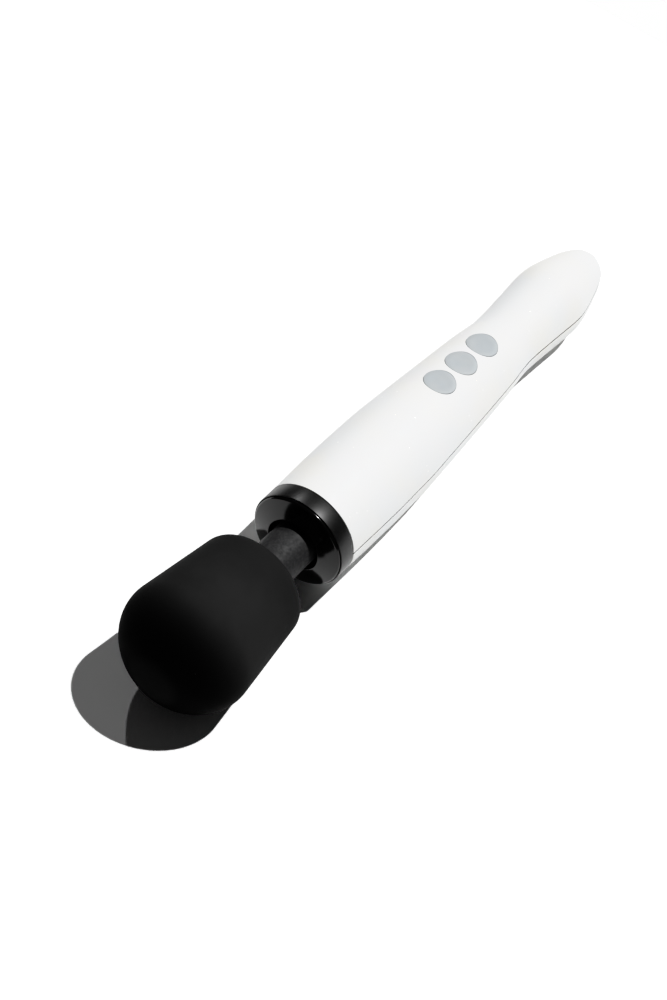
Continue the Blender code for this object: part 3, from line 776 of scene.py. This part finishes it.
# ---------------------------------------------------------------- carried-over pieces
def finish_inner_pieces():
    """Give each CAD node that is kept a finish of its own kind."""
    finishes = {
        "white_shell": pearl_white(),
        "button_grey": button_grey(),
        "black_gloss": gloss_black("band_black", 0.36, 0.42),
        "face_gloss": gloss_black("face_black", 0.13, 0.36),
        "black_silicone": head_silicone(),
        "dark_rubber": neck_rubber(),
        "black_plastic": moulded_plastic("black_plastic", (0.02, 0.02, 0.021)),
        "grey_plastic": moulded_plastic("grey_plastic", (0.33, 0.34, 0.35)),
        "carbon": moulded_plastic("carbon_black", (0.022, 0.022, 0.022), 0.6),
        "ferrite": moulded_plastic("ferrite_grey", (0.07, 0.07, 0.075), 0.7),
        "board_green": moulded_plastic("solder_mask", (0.012, 0.11, 0.045), 0.35),
        "cell_wrap": moulded_plastic("cell_film", (0.06, 0.2, 0.45), 0.3),
        "red_wire": moulded_plastic("red_sheath", (0.5, 0.02, 0.015), 0.4),
        "steel": metal("turned_steel", (0.6, 0.61, 0.62)),
        "nickel": metal("nickel_plate", (0.7, 0.67, 0.6), 0.22),
        "bronze": metal("sintered_bronze", (0.52, 0.32, 0.14), 0.5),
        "copper": metal("enamelled_copper", (0.7, 0.28, 0.12), 0.35, (8, 1, 1)),
    }
    for node in NODES.values():
        node.data.materials[0] = finishes[node.data.materials[0].name]
    return finishes


# ---------------------------------------------------------------- stage
FLOOR_HALF = 0.36             # small, so that gloss black parts have dark beyond it to reflect
REFLECTED_GLOW = 0.035        # of the world, wherever the camera doesn't look straight at it
# (level, shown), chosen by comparing brightness in the picture with the photograph's
TONE_CURVE = ((0.012, 0.0055), (0.03, 0.022), (0.06, 0.053), (0.11, 0.104), (0.25, 0.26), (0.45, 0.52),
              (0.6, 0.73), (0.72, 0.835), (0.8, 0.88), (0.88, 0.905), (0.95, 0.925))


def make_floor():
    shape = bmesh.new()
    bmesh.ops.create_grid(shape, x_segments=1, y_segments=1, size=FLOOR_HALF)
    mesh = bpy.data.meshes.new("floor")
    shape.to_mesh(mesh)
    shape.free()
    floor = bpy.data.objects.new("floor", mesh)
    bpy.context.scene.collection.objects.link(floor)
    s = Shader("floor_paper", (0.9, 0.9, 0.9), 0.9, **{"Specular IOR Level": 0.1})
    s.colour(s.blend(s.ramp(s.noise(9, 2), 0.3, 0.7, (0, 1)), (0.895, 0.895, 0.895), (0.905, 0.905, 0.905)))
    mesh.materials.append(s.material)


def add_sun(name, azimuth, elevation, strength, softness, gloss=1.0):
    """A distant lamp whose light travels towards azimuth, down at elevation; angles in degrees."""
    lamp = bpy.data.lights.new(name, "SUN")
    lamp.energy = strength
    lamp.angle = math.radians(softness)
    lamp.specular_factor = gloss
    sun = bpy.data.objects.new(name, lamp)
    bpy.context.scene.collection.objects.link(sun)
    a, e = math.radians(azimuth), math.radians(elevation)
    travel = Vector((math.cos(a) * math.cos(e), math.sin(a) * math.cos(e), -math.sin(e)))
    sun.rotation_euler = travel.to_track_quat("-Z", "Y").to_euler()


def make_world():
    """White where the camera sees past the floor, and weak everywhere else."""
    world = bpy.data.worlds.new("studio")
    world.use_nodes = True
    bpy.context.scene.world = world
    tree = world.node_tree
    background = tree.nodes["Background"]
    background.inputs["Color"].default_value = (1.0, 1.0, 1.0, 1.0)
    path = tree.nodes.new("ShaderNodeLightPath")
    level = tree.nodes.new("ShaderNodeMapRange")
    level.inputs["To Min"].default_value = REFLECTED_GLOW
    level.inputs["To Max"].default_value = 1.0
    tree.links.new(path.outputs["Is Camera Ray"], level.inputs["Value"])
    tree.links.new(level.outputs["Result"], background.inputs["Strength"])


def make_camera():
    azimuth, elevation, roll = CAMERA_AZIMUTH, CAMERA_ELEVATION, CAMERA_ROLL
    back = Vector((math.cos(azimuth) * math.cos(elevation), math.sin(azimuth) * math.cos(elevation),
                   math.sin(elevation)))
    level = Vector((-math.sin(azimuth), math.cos(azimuth), 0))
    upright = back.cross(level)
    right = level * math.cos(roll) + upright * math.sin(roll)
    up = upright * math.cos(roll) - level * math.sin(roll)
    camera = bpy.data.objects.new("camera", bpy.data.cameras.new("camera"))
    bpy.context.scene.collection.objects.link(camera)
    rotation = Matrix((right, up, back)).transposed().to_4x4()
    camera.matrix_world = Matrix.Translation(CAMERA_TARGET + back * CAMERA_DISTANCE) @ rotation
    camera.data.lens = CAMERA_LENS
    camera.data.sensor_width = SENSOR_WIDTH
    camera.data.shift_x, camera.data.shift_y = CAMERA_SHIFT
    bpy.context.scene.camera = camera


def set_tone():
    """The photograph's contrast: deep blacks, and pale tones lifted towards white."""
    view = bpy.context.scene.view_settings
    view.view_transform = "Standard"
    view.use_curve_mapping = True
    curve = view.curve_mapping.curves[3]
    for level, shown in TONE_CURVE:
        curve.points.new(level, shown)
    view.curve_mapping.update()


def make_stage():
    set_tone()
    make_floor()
    make_world()
    add_sun("key", azimuth=-33.9, elevation=63.7, strength=3.95, softness=1.0)
    add_sun("fill", azimuth=48.0, elevation=39.0, strength=0.47, softness=1.5, gloss=0.15)


make_camera()
finishes = finish_inner_pieces()
deck = deck_plane()
make_shells(deck, finishes["white_shell"])
make_buttons(deck, finishes["button_grey"])
make_collar(finishes["black_gloss"], finishes["face_gloss"])
make_neck(finishes["dark_rubber"])
make_head(finishes["black_silicone"])
make_inlet(finishes["black_plastic"])
make_shell_screws(finishes["steel"])
make_stage()
